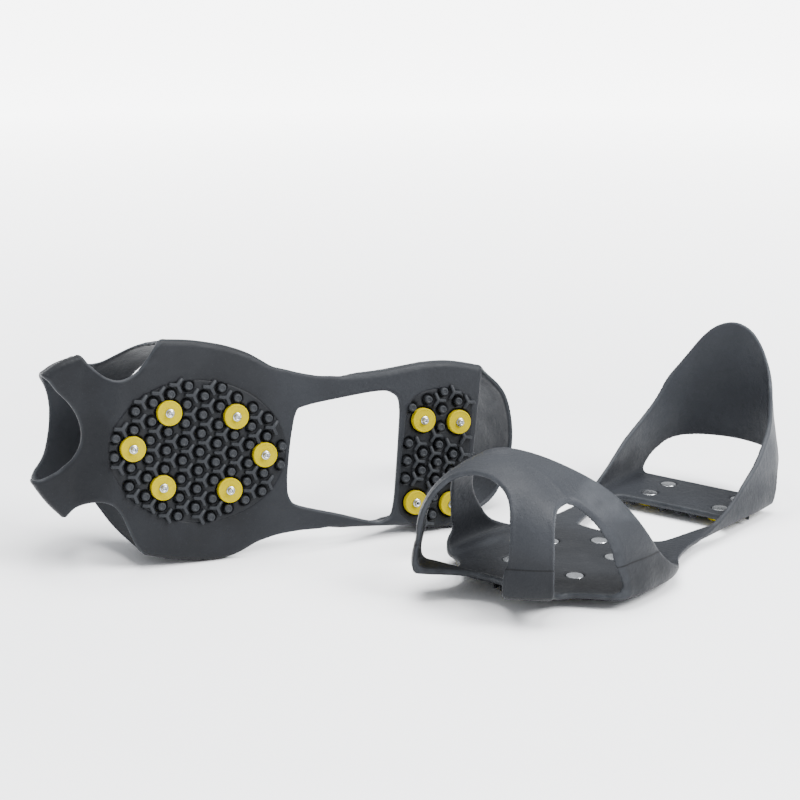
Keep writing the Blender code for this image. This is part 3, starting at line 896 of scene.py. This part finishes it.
def rubber_material():
    """Matte moulded rubber: paler up the bands as painted light from above, cloudy, with grain, rub
    marks, and cut edges paler from wear and a painted highlight.
    """
    s = Shader("band_rubber")
    cloud = s.ramp(s.noise(28, 4), 0.3, 0.7, -0.12, 0.12)
    # Paleness, with painted light from above up the bands
    pale_and_top_light = s.ramp(s.maths("ADD", s.attribute("pale_and_top_light"), cloud), 0.0, 1.0)
    tone = s.mix(pale_and_top_light, RUBBER_DARK, RUBBER_PALE_AND_LIT)
    rubbed = s.maths("MULTIPLY", s.ramp(s.noise(60, 5, (1.0, 0.25, 1.0)), 0.58, 0.75),
                     s.ramp(s.noise(12), 0.45, 0.6))
    tone = s.mix(s.maths("MULTIPLY", rubbed, 0.2), tone, RUBBER_WEAR_AND_HIGHLIGHT)
    specks = s.ramp(s.noise(1500, 1), 0.72, 0.78)
    tone = s.mix(s.maths("MULTIPLY", specks, 0.3), tone, RUBBER_WEAR_AND_HIGHLIGHT)
    # Cut edges paler, partly from wear and partly as a painted highlight
    near_edge = s.ramp(s.attribute("edge"), 0.2, 1.6, 1.0, 0.0)
    wear_and_edge_highlight = s.maths("MULTIPLY", near_edge, s.ramp(s.noise(160, 3), 0.3, 0.7, 0.15, 0.5))
    tone = s.mix(wear_and_edge_highlight, tone, RUBBER_WEAR_AND_HIGHLIGHT)
    # A painted shade line along the moulded step, on the outer skin
    from_step = s.node("Math", {0: s.attribute("rise")}, operation="ABSOLUTE").outputs["Value"]
    line = s.maths("MULTIPLY", s.ramp(from_step, 0.2, 0.5, 0.8, 0.0), s.attribute("outside"))
    tone = s.mix(line, tone, RUBBER_STEP_SHADE)
    s.bump([(s.noise(420, 3), 0.00022), (s.noise(1900, 2), 0.00010)])
    return s.set(Base_Color=tone, Roughness=s.ramp(s.noise(90, 3), 0.3, 0.7, 0.42, 0.58),
                 Specular_IOR_Level=0.13)


def tread_material():
    """The same rubber under the foot, darkened as painted shade: darker still down in the pits as
    painted shade, and paler on the tops as a painted highlight.
    """
    s = Shader("tread_rubber")
    # Darker tread tones as painted shade
    tone = s.mix(s.ramp(s.noise(140, 3), 0.35, 0.7), *TREAD_SHADED_TONES)
    # Painted shade down in the pits
    tone = s.mix(s.ramp(s.attribute("pit"), 0.0, 0.8), tone, TREAD_PIT_SHADE)
    # Painted highlight on the tops
    tone = s.mix(s.ramp(s.attribute("pit"), -1.3, -2.2, 0.0, 0.9), tone, TREAD_TOP_HIGHLIGHT)
    s.bump([(s.noise(1200, 2), 0.0001)])
    return s.set(Base_Color=tone, Roughness=s.ramp(s.noise(200, 2), 0.3, 0.7, 0.38, 0.55),
                 Specular_IOR_Level=0.12)


def collar_material():
    """Moulded yellow plastic with a little dirt."""
    s = Shader("collar_yellow")
    tone = s.mix(s.ramp(s.noise(220, 3), 0.4, 0.75), *YELLOW_TONES)
    specks = s.ramp(s.noise(2200, 1), 0.73, 0.78)
    tone = s.mix(s.maths("MULTIPLY", specks, 0.4), tone, YELLOW_DIRT)
    s.bump([(s.noise(900, 2), 0.00006)])
    return s.set(Base_Color=tone, Roughness=s.ramp(s.noise(300, 2), 0.3, 0.7, 0.38, 0.52),
                 Specular_IOR_Level=0.03)


def steel_material():
    """Plated steel, a little uneven in tone and polish."""
    s = Shader("stud_steel")
    tone = s.mix(s.ramp(s.noise(900, 3), 0.3, 0.7), *STEEL_TONES)
    s.bump([(s.noise(900, 2), 0.00003)])
    return s.set(Base_Color=tone, Metallic=1.0,
                 Roughness=s.ramp(s.noise(1300, 2), 0.3, 0.7, 0.2, 0.4))


def floor_material():
    """Pale studio floor, which glows more and more away from the object, as a white sweep would."""
    s = Shader("studio_floor")
    tone = s.mix(s.ramp(s.noise(3, 2), 0.3, 0.7), *FLOOR_TONES)
    away = s.node("VectorMath", {0: s.place}, operation="LENGTH").outputs["Value"]
    glow = s.ramp(away, FLOOR_GLOW_START, FLOOR_GLOW_END, 0.0, FLOOR_GLOW)
    return s.set(Base_Color=tone, Roughness=0.7, Emission_Color=(1, 1, 1, 1),
                 Emission_Strength=glow)


# ------------------------------------------------------------ stage

def area_light(name, place, target, size, power):
    """A round soft light that faces its target."""
    lamp = bpy.data.lights.new(name, "AREA")
    lamp.shape = "DISK"
    lamp.size = size
    lamp.energy = power
    made = bpy.data.objects.new(name, lamp)
    made.location = place
    made.rotation_euler = (Vector(target) - Vector(place)).to_track_quat("-Z", "Y").to_euler()
    bpy.context.scene.collection.objects.link(made)


def build_stage():
    """A wide floor, an even white surround and two soft lights from above."""
    mesh = bpy.data.meshes.new("studio_floor")
    corners = [(x * FLOOR_HALF, y * FLOOR_HALF, 0) for x, y in ((-1, -1), (1, -1), (1, 1), (-1, 1))]
    mesh.from_pydata(corners, [], [(0, 1, 2, 3)])
    mesh.materials.append(floor_material())
    floor = bpy.data.objects.new("studio_floor", mesh)
    bpy.context.scene.collection.objects.link(floor)

    world = bpy.data.worlds.new("studio")
    world.use_nodes = True
    background = world.node_tree.nodes["Background"]
    background.inputs["Color"].default_value = SURROUND_COLOUR
    background.inputs["Strength"].default_value = SURROUND_STRENGTH
    bpy.context.scene.world = world
    area_light("key", place=(1.4, 0.3, 1.3), target=(0, 0, 0.03), size=1.0, power=70)
    area_light("top", place=(-0.1, 0.1, 2.2), target=(0, 0, 0), size=2.0, power=130)


def build_camera(standing):
    """A camera at the photograph's angle, off the standing cleat's toe and inner side."""
    heading, pitch = math.radians(CAMERA_HEADING), math.radians(CAMERA_PITCH)
    level = math.cos(pitch)
    look = Vector((math.cos(heading) * level, math.sin(heading) * level, math.sin(pitch)))
    data = bpy.data.cameras.new("camera")
    data.lens = CAMERA_LENS
    data.sensor_width = CAMERA_SENSOR
    camera = bpy.data.objects.new("camera", data)
    camera.location = Vector((standing.origin[0], standing.origin[1], 0)) + CAMERA_OFFSET
    camera.rotation_euler = look.to_track_quat("-Z", "Y").to_euler()
    bpy.context.scene.collection.objects.link(camera)
    bpy.context.scene.camera = camera


def main():
    """Builds the stage, and every piece of both cleats."""
    cleats = [CleatFrame("lying", 1), CleatFrame("standing", -1)]
    build_camera(cleats[1])
    build_stage()
    rubber, tread = rubber_material(), tread_material()
    yellow, steel = collar_material(), steel_material()
    shared = shared_fields()
    for cleat in cleats:
        make_rubber(cleat, shared, rubber)
        make_tread(cleat, tread)
        for number, place in enumerate(stud_places(), 1):
            make_collar(cleat, number, place, yellow)
            make_stud(cleat, number, place, steel)


main()
